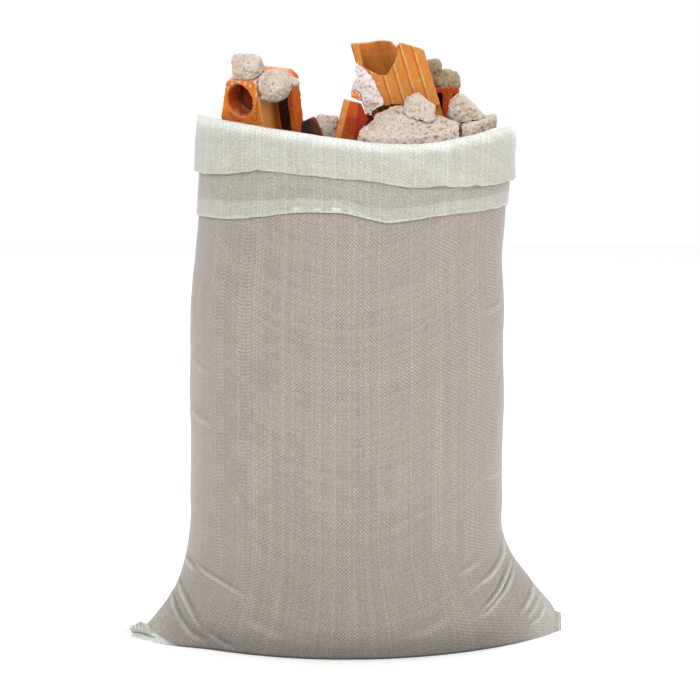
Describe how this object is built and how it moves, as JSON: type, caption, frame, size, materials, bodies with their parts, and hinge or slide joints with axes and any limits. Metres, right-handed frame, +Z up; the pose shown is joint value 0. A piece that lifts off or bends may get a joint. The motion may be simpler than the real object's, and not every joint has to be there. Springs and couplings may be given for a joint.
{
  "type": "woven rubble sack",
  "caption": "Open woven plastic sack, standing, its mouth rolled outwards, filled with broken hollow bricks and mortar rubble.",
  "frame": {"origin": "on the floor at the middle of the sack", "axes": "+Z up, -Y towards the broad front of the sack, X along the bottom seam from ear to ear"},
  "size_m": [0.5322, 0.3322, 0.7085],
  "materials": {
    "woven_cloth": "woven polypropylene tapes, translucent off-white over dusty contents, low sheen",
    "folded_cloth": "woven polypropylene tapes in several plies, off-white, low sheen",
    "sewing_thread": "white polyester sewing thread",
    "fired_clay": "rough fired brick clay with pale dust",
    "mortar": "matte sandy mortar, pitted and dusty",
    "plaster": "matte white plaster crust with brick crumbs",
    "crushed_rubble": "loose crumbs of mortar and brick, dusty"
  },
  "bodies": {
    "sack": {"sack_body": "woven_cloth", "mouth_outer_turn": "folded_cloth", "mouth_inner_turn": "folded_cloth", "bottom_hem": "folded_cloth", "seam_stitching": "sewing_thread", "seam_thread_tail_left": "sewing_thread", "seam_thread_tail_right": "sewing_thread", "rubble_fill": "crushed_rubble", "mortar_cobble_back_left": "mortar", "mortar_cobble_back_right": "mortar", "mortar_cobble_side": "mortar", "mortar_cobble_back": "mortar", "mortar_cobble_middle": "mortar", "mortar_cobble_right": "mortar", "brick_bat_back": "fired_clay"},
    "left_brick": {"hollow_brick_left": "fired_clay", "mortar_lump_left_upper": "mortar", "mortar_lump_left_lower": "mortar"},
    "ribbed_brick": {"ribbed_brick": "fired_clay", "plaster_crust": "plaster", "brick_chip_on_crust": "fired_clay"},
    "shard": {"brick_shard": "fired_clay"},
    "dark_chip": {"brick_chip_dark": "fired_clay"},
    "small_mortar": {"mortar_chunk": "mortar"},
    "mortar_slab": {"mortar_slab": "mortar", "mortar_lump_on_slab": "mortar"},
    "right_mortar": {"mortar_block_right": "mortar", "mortar_lump_right": "mortar"},
    "rear_brick": {"brick_block_rear": "fired_clay", "mortar_lump_rear": "mortar"}
  },
  "joints": [
    {"name": "lift_left_brick", "type": "slide", "parent": "sack", "child": "left_brick", "axis": [0, 0, 1], "range_m": [0, 0.25]},
    {"name": "lift_ribbed_brick", "type": "slide", "parent": "sack", "child": "ribbed_brick", "axis": [0, 0, 1], "range_m": [0, 0.25]},
    {"name": "lift_shard", "type": "slide", "parent": "sack", "child": "shard", "axis": [0, 0, 1], "range_m": [0, 0.25]},
    {"name": "lift_dark_chip", "type": "slide", "parent": "sack", "child": "dark_chip", "axis": [0, 0, 1], "range_m": [0, 0.25]},
    {"name": "lift_small_mortar", "type": "slide", "parent": "sack", "child": "small_mortar", "axis": [0, 0, 1], "range_m": [0, 0.25]},
    {"name": "lift_mortar_slab", "type": "slide", "parent": "sack", "child": "mortar_slab", "axis": [0, 0, 1], "range_m": [0, 0.25]},
    {"name": "lift_right_mortar", "type": "slide", "parent": "sack", "child": "right_mortar", "axis": [0, 0, 1], "range_m": [0, 0.25]},
    {"name": "lift_rear_brick", "type": "slide", "parent": "sack", "child": "rear_brick", "axis": [0, 0, 1], "range_m": [0, 0.25]}
  ]
}
